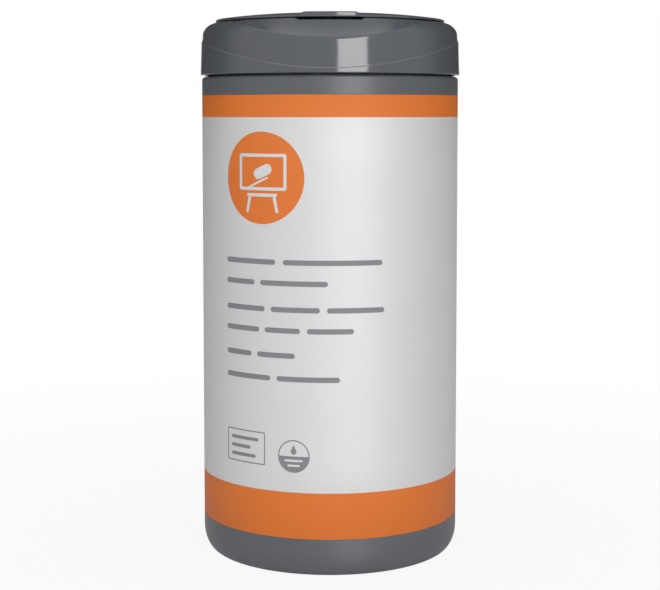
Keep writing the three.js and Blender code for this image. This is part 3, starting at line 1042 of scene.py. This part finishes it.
def cap_underside(column):
    """From the well's floor over the plug ring, the flange and the snap bead to the skirt's rim."""
    turn = math.radians(column)
    in_pocket = 180 - abs(column) < POCKET_TURN + 2
    under = DECK_TOP - CAP_WALL
    ceiling = min(under, POCKET_FLOOR - CAP_WALL) if in_pocket else under
    well_r = WELL_R + WELL_WALL
    foot = WELL_FLOOR - WELL_WALL
    plug_inner = PLUG_R - PLUG_WALL
    points = [(SPOUT_R - 0.4, foot), (SPOUT_R + 1, foot), (20, foot), (well_r - 0.3, foot)]
    points += [(well_r, foot + 0.3), (well_r, under - 0.4), (well_r + 0.4, under), (34, under)]
    points += [(35.4, under), (35.8, ceiling), (plug_inner - 0.2, ceiling), (plug_inner, ceiling - 0.2)]
    points += [(plug_inner, PLUG_FOOT + 0.3), (plug_inner + 0.2, PLUG_FOOT), (PLUG_R - 0.5, PLUG_FOOT)]
    points += [(PLUG_R, PLUG_FOOT + 0.6), (PLUG_R, SEAT), (NECK_RADIUS - 0.1, SEAT)]
    points += [(NECK_RADIUS, SEAT + 0.1), (NECK_RADIUS, SEAT + FLANGE), (PLUG_R + 0.1, SEAT + FLANGE)]
    corner = []
    for s in (7.2, 6.4, 5.4, 4.4, 3.4, 2.4, 1.4, 0.6, 0):
        r, z = skin_point(s, turn, CAP_WALL)
        corner.append((max(r, PLUG_R + 0.12), min(z, ceiling)))
    inner = CAP_RADIUS - CAP_WALL
    skirt = [(inner - 0.5, CORNER_Z - 2), (inner - 0.2, CORNER_Z - 6), (inner, SNAP_Z + 1.6)]
    snap = [(SNAP_R, SNAP_Z + 0.4), (SNAP_R, SNAP_Z - 0.4), (inner, SNAP_Z - 1.6)]
    return points + corner + skirt + snap + [(inner, CAP_BOTTOM + 0.2), (inner + 0.15, CAP_BOTTOM)]


def cap_sections():
    right = column_angles()
    columns = [-a for a in reversed(right[1:-1])] + right
    sections = []
    for column in columns:
        profile = cap_band(column) + top_skin(column) + cap_well(column) + cap_underside(column)
        sections.append([cap_place(column, r, z) for r, z in profile])
    return sections


# %% [markdown]
# The crease's ledge is narrower than a pixel, yet it shows as a thin light line, because its edge catches
# the light.
# A painted highlight stands in for that light: a paler line in the material along the same arc.

# %% Cap finish and shell
# Colour of the painted crease highlight, and where its line lies: its middle and half width, in
# millimetres from the crease.
CREASE_HIGHLIGHT_GREY = (0.155, 0.165, 0.18, 1)
CREASE_HIGHLIGHT_MIDDLE = -0.13
CREASE_HIGHLIGHT_HALF = 0.2


def painted_crease_highlight(plain):
    """The inputs of a plastic with a painted highlight: paler in a thin line along the crease."""

    def build(graph, place):
        inputs = plain(graph, place)
        x, _, z = [number / MM for number in graph.apart(place)]
        above = z + (CREASE_CURVE ** 2 - x * x).math("SQRT") - (CREASE_FRONT + CREASE_CURVE)
        # Painted highlight: 1 on a thin line along the crease, where its ledge would catch the light.
        edge = (1 - abs(above - CREASE_HIGHLIGHT_MIDDLE) / CREASE_HIGHLIGHT_HALF).clamped()
        inputs["Base Color"] = graph.mix(edge, inputs["Base Color"], CREASE_HIGHLIGHT_GREY)
        return inputs

    return build


# The cap's skin gets the painted highlight along its crease. The lid and the petals keep the plain glossy
# plastic.
crease_highlight_plastic = surface("creased grey plastic", painted_crease_highlight(glossy))
cap_shell = strip_object("cap_shell", cap_sections(), crease_highlight_plastic, closed=True)
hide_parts("cap")
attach(cap_shell, "cap")

# %% [markdown]
# The spout is a low cone slit into six soft petals that pinch the next wipe. One petal is modelled, and
# a geometry node tree sets six of them round the axis and welds their roots together.

# %% Spout petals
PETALS = 6
PETAL_FIRST_TURN = math.radians(45)
SPOUT_TOP_R = 4.2
SPOUT_HOLE_R = 3.4
SLIT_HALF = 0.5
SLIT_END_R = 10.5
SLIT_POINT = 0.7
PETAL_RADII = (13.3, 12.9, 12.3, 11.6, 11.2, 11.0, 10.8, 10.5, 9.6, 8.4, 7.2, 6.0, 5.0, 4.4, 4.0, 3.7, 3.5)
PETAL_RADII += (SPOUT_HOLE_R,)
PETAL_COLUMNS = 8
PETAL_WALL = 0.95
ROOT_EXTRA = 0.25  # the petal is thicker at its root
BELLY = 0.45
TIP_R = 3.9  # from here on the tip bends down
TIP_DROP = 0.15
SIDE_DROP = 0.12


def petal_half_angle(r):
    """Half the petal's width. The slit closes in a short point."""
    share = clamp((SLIT_END_R + SLIT_POINT - r) / SLIT_POINT)
    return math.pi / PETALS - math.asin(SLIT_HALF * share / r)


def petal_points():
    """The petal's top face row by row from its root to its tip, then its underside."""
    top, under = [], []
    for r in PETAL_RADII:
        share = clamp((SPOUT_R - r) / (SPOUT_R - SPOUT_TOP_R))
        belly = BELLY * math.sin(math.pi * share)
        tip = TIP_DROP * max((TIP_R - r) / (TIP_R - SPOUT_HOLE_R), 0) ** 2
        height = WELL_FLOOR + SPOUT_RISE * share + belly - tip
        for k in range(PETAL_COLUMNS + 1):
            side = 2 * k / PETAL_COLUMNS - 1
            angle = petal_half_angle(r) * side
            droop = SIDE_DROP * side ** 4 if r < SLIT_END_R else 0
            x, y = r * math.cos(angle), r * math.sin(angle)
            top.append((x, y, height - droop))
            under.append((x, y, height - PETAL_WALL - ROOT_EXTRA * (1 - share)))
    return [tuple(v * MM for v in p) for p in top + under]


def petal_mesh():
    points = petal_points()
    columns = PETAL_COLUMNS
    width = columns + 1
    offset = len(points) // 2
    rows = len(PETAL_RADII) - 1
    faces = []
    for i in range(rows):
        for k in range(columns):
            a = i * width + k
            faces.append((a, a + 1, a + 1 + width, a + width))
            faces.append((a + offset, a + width + offset, a + 1 + width + offset, a + 1 + offset))
        if PETAL_RADII[i + 1] < SLIT_END_R + SLIT_POINT:
            for a in (i * width, i * width + columns):
                faces.append((a, a + width, a + width + offset, a + offset))
    for row in (0, rows * width):
        for a in range(row, row + columns):
            faces.append((a, a + offset, a + 1 + offset, a + 1))
    mesh = bpy.data.meshes.new("petal")
    mesh.from_pydata(points, [], faces)
    return mesh


def round_tree():
    inputs = {"Part": "Geometry", "Count": "Int", "First turn": "Float", "Finish": "Material"}
    tree, graph, (part, count, first_turn, finish) = geometry_tree("set round the axis", inputs, "Set")
    places = graph.geometry("MeshLine", {"Count": count, "Offset": (0, 0, 0)})
    index = graph.geometry("InputIndex")
    turn = index / count * (2 * math.pi) + first_turn
    rotation = graph.shader("CombineXYZ", {"Z": turn})
    placed = {"Points": places, "Instance": part, "Rotation": rotation}
    copies = graph.geometry("InstanceOnPoints", placed)
    real = graph.geometry("RealizeInstances", {0: copies})
    welded = graph.geometry("MergeByDistance", {"Geometry": real, "Distance": 2e-6})
    done = graph.geometry("SetMaterial", {"Geometry": welded, "Material": finish})
    graph.node("NodeGroupOutput", {0: done})
    return tree


petal_inputs = {"Count": PETALS, "First turn": PETAL_FIRST_TURN, "Finish": cap_plastic}
petals = baked(linked("petal", petal_mesh()), round_tree(), "spout_petals", **petal_inputs)
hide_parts("spout")
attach(petals, "cap")

# %% [markdown]
# The flip lid is a low dome with a thin rounded rim. A lip at the front stands out and up for a thumb
# nail, the back is cut straight at the hinge, and a ring below closes the well. It is built from
# sections like the cap, and each one starts and ends on the axis.

# %% Flip lid
LID_BOTTOM = DECK_TOP + SEAT_GAP
LID_RIM_TOP = LID_BOTTOM + 0.8
LID_RISE = 2.2
LID_PLAIN_R = LID_RADIUS - LIP_REACH
CROWN_POWER = 2.8
LID_WALL = 1.2
RIM_WALL = 1.4
RIM_ROUND = 0.5
RIM_ROOM = 0.1  # plain face between the rim's rounding and the faces beside it
LID_BACK_Y = POCKET_Y - 0.45
LIP_HALF = 9.9
LIP_TAPER = 3.6
LIP_CLIMB = 1.2
LIP_BACK_R = 34.0
SEAL_R = WELL_R - 0.6
SEAL_WALL = 1
SEAL_FOOT = LID_BOTTOM - 3.1
CROWN_SHARES = (0, 0.04, 0.1, 0.18, 0.27, 0.36, 0.45, 0.54, 0.62, 0.7, 0.77, 0.83, 0.865)


def crown_height(r):
    return LID_RIM_TOP + LID_RISE * (1 - (r / LID_PLAIN_R) ** CROWN_POWER)


def lid_inside(r):
    """Height of the lid's inner face."""
    return crown_height(r) - LID_WALL


LIP_TOP = crown_height(LIP_BACK_R) + 0.05


def lip_share(r, turn):
    """1 on the thumb lip, 0 beside it."""
    if abs(turn) > 1:
        return 0
    return smooth_step((LIP_HALF + LIP_TAPER / 2 - abs(r * math.sin(turn))) / LIP_TAPER)


def lid_radius(column):
    if abs(column) > 90:
        behind = math.radians(180 - abs(column))
        return min(LID_PLAIN_R, LID_BACK_Y / math.cos(behind))
    return LID_PLAIN_R + LIP_REACH * lip_share(LID_PLAIN_R, math.radians(column))


def lid_upper(turn, edge):
    """The crown, the rounded rim and the side, down to the lid's bottom face."""
    points = [(share * LID_PLAIN_R, crown_height(share * LID_PLAIN_R)) for share in CROWN_SHARES]
    start = CROWN_SHARES[-1] * LID_PLAIN_R
    for k in range(1, 15):
        r = start + (edge - RIM_ROUND - 0.25 - start) * k / 14
        points.append((r, lid_top(r, turn)))
    high = lid_top(edge - RIM_ROUND - RIM_ROOM, turn)
    points += quarter(edge - RIM_ROUND, high - RIM_ROUND, RIM_ROUND, RIM_ROUND, 90, 0, 6)
    points += [(edge, high - RIM_ROUND - RIM_ROOM), (edge, LID_BOTTOM + 0.25)]
    return points + [(edge - 0.05, LID_BOTTOM + 0.08), (edge - 0.2, LID_BOTTOM)]


def lid_under(column, turn, edge):
    """From the rim's inner face over the seal ring to the middle."""
    thicker = (LID_PLAIN_R - RIM_WALL - LIP_BACK_R) * lip_share(LIP_BACK_R, turn)
    inner = min(edge, LID_PLAIN_R) - RIM_WALL - thicker
    inner = max(inner, LIP_BACK_R) if abs(column) < 90 else inner
    seal_top = lid_inside(SEAL_R) - 0.4
    seal_inner = SEAL_R - SEAL_WALL
    points = [(inner + 0.2, LID_BOTTOM), (inner + 0.03, LID_BOTTOM + 0.1)]
    points += [(inner, lid_inside(inner) - 0.3), (inner - 0.3, lid_inside(inner))]
    points += [(r, lid_inside(r)) for r in (33, 30, SEAL_R + 0.4)]
    points += [(SEAL_R, seal_top), (SEAL_R, SEAL_FOOT + 0.5), (SEAL_R - 0.3, SEAL_FOOT)]
    points += [(SEAL_R - 0.7, SEAL_FOOT), (seal_inner, SEAL_FOOT + 0.3), (seal_inner, seal_top)]
    return points + [(r, lid_inside(r)) for r in (seal_inner - 0.4, 22, 16, 10, 5, 0)]


def lid_section(column):
    turn = math.radians(column)
    edge = lid_radius(column)
    return lid_upper(turn, edge) + lid_under(column, turn, edge)


def lid_top(r, turn):
    """Height of the lid's top face, lip included."""
    lip = lip_share(r, turn) * smooth_step((r - LIP_BACK_R) / LIP_CLIMB)
    return crown_height(min(r, LID_PLAIN_R)) * (1 - lip) + LIP_TOP * lip


def lid_columns():
    back_corner = 180 - math.degrees(math.acos(LID_BACK_Y / LID_PLAIN_R))
    right = [0.4 * k for k in range(46)] + [18 + k for k in range(1, 162)] + [180]
    right += [back_corner + d for d in (-0.12, 0, 0.12)]
    right = sorted(set(right))
    return [-a for a in reversed(right[1:-1])] + right


lid_sections = [[at(r, z, column) for r, z in lid_section(column)] for column in lid_columns()]
lid_shell = strip_object("lid_shell", lid_sections, cap_plastic, closed=True, rings=False)
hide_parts("flip_lid")
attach(lid_shell, "flip_lid")

# %% [markdown]
# A living hinge is a thin web of the same plastic that folds. It crosses from the cap to the lid, so it
# is a strip that follows the cap at its lower edge and the lid at its upper edge, with the fold between.

# %% Hinge web
WEB_HALF = 14.0
WEB_COLUMNS = 24
# Distance behind the axis, height, and half the web's thickness
WEB_PATH = [
    (38.46, 188.3, 0.2), (38.46, 188.9, 0.2), (38.42, 189.25, 0.16),
    (38.32, 189.45, 0.12), (38.2, 189.6, 0.12), (38.08, 189.76, 0.12),
    (38.0, 189.95, 0.16), (37.99, 190.2, 0.2), (37.99, 190.5, 0.2),
]


def web_sections():
    sections = []
    for i in range(WEB_COLUMNS + 1):
        x = WEB_HALF * (2 * i / WEB_COLUMNS - 1)
        outside = [(x * MM, (y + half) * MM, z * MM) for y, z, half in WEB_PATH]
        inside = [(x * MM, (y - half) * MM, z * MM) for y, z, half in reversed(WEB_PATH)]
        sections.append(outside + inside)
    return sections


hinge_web = strip_object("hinge_web", web_sections(), cap_plastic, closed=False)
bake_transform(hinge_web)

# %% [markdown]
# The light is that of a product photo: one tall softbox at the front right, whose sharp mirror image
# stands on the glossy cap, a weaker wide light from the left, and a soft top light. The last two give
# no mirror image. The world gives the rest: a room that is brighter at the front, and for mirror rays a
# pale ceiling and a white backdrop low behind the object. Camera rays see only white.

# %% Floor and lights
MIDDLE = Vector((0, 0, 0.1))
SOFTBOX_HEIGHT = 1.4


def softbox(name, place, width, power, mirrored=True):
    """A lamp turned to the object's middle. Without mirrored, shiny things don't show it."""
    light = bpy.data.lights.new(name, "AREA")
    light.shape = "RECTANGLE"
    light.size = width
    light.size_y = SOFTBOX_HEIGHT
    light.energy = power
    lamp = linked(name, light)
    lamp.location = place
    lamp.rotation_euler = (MIDDLE - Vector(place)).to_track_quat("-Z", "Y").to_euler()
    lamp.visible_glossy = mirrored


softbox("key_right", (0.53, -1.51, 0.35), width=0.72, power=16)
softbox("fill_left", (-1.3, -1.25, 0.4), width=1.4, power=8.5, mirrored=False)
softbox("top", (0.0, 0.2, 1.3), width=1.4, power=5, mirrored=False)

ROOM_FRONT = (0.5, 0.503, 0.51, 1)
ROOM_BACK = (0.06, 0.06, 0.062, 1)
ROOM_TOP = (1.15, 1.155, 1.17, 1)
WHITE = (1, 1, 1, 1)
FLOOR_WHITE = (0.86, 0.86, 0.86, 1)
FLOOR_REACH = 4.0


def white_backdrop():
    """The world. Each mask is a ramp over the direction in which a ray goes."""
    world = bpy.data.worlds.new("studio")
    graph = cleared(world)
    seen, mirrored = graph.rays()
    _, depth, up = graph.apart(graph.shader("TexCoord", out="Generated"))
    front = (depth * -2.2 + 0.75).clamped()
    room = graph.mix(front, ROOM_BACK, ROOM_FRONT)
    overhead = ((up - 0.9) * 10).clamped() * mirrored
    room = graph.mix(overhead, room, ROOM_TOP)
    low = (up * -30 + 2.6).clamped()
    straight_behind = ((depth - 0.95) * 40).clamped() * low * mirrored
    colour = graph.mix(seen.most(straight_behind), room, WHITE)
    back = graph.shader("Background", {"Color": colour, "Strength": 1.0})
    graph.shader("OutputWorld", {0: back})
    bpy.context.scene.world = world


def floor_material():
    """Pale, faintly polished, and mostly pure white to the camera, so that only a soft shadow shows."""
    material = bpy.data.materials.new("pale floor")
    graph = cleared(material)
    seen, mirrored = graph.rays()
    place = graph.shader("TexCoord", out="Object")
    away = graph.shader("VectorMath", {0: place}, out=1, operation="LENGTH")
    share = (away * 0.25 + 0.9).least(1.0)
    plain = graph.shader("BsdfDiffuse", {"Color": FLOOR_WHITE})
    polish = graph.shader("BsdfGlossy", {"Color": WHITE, "Roughness": 0.25})
    plain = graph.shader("MixShader", {0: 0.3, 1: plain, 2: polish})
    glow = graph.shader("Emission", {"Color": WHITE, "Strength": 1.0})
    glowing = seen.most(mirrored * 0.17) * share
    shown = graph.shader("MixShader", {0: glowing, 1: plain, 2: glow})
    graph.shader("OutputMaterial", {0: shown})
    return material


def floor():
    mesh = bpy.data.meshes.new("floor")
    corners = [(-1, -1), (1, -1), (1, 1), (-1, 1)]
    mesh.from_pydata([(x * FLOOR_REACH, y * FLOOR_REACH, 0) for x, y in corners], [], [(0, 1, 2, 3)])
    mesh.materials.append(floor_material())
    made = linked("floor", mesh)


white_backdrop()
floor()
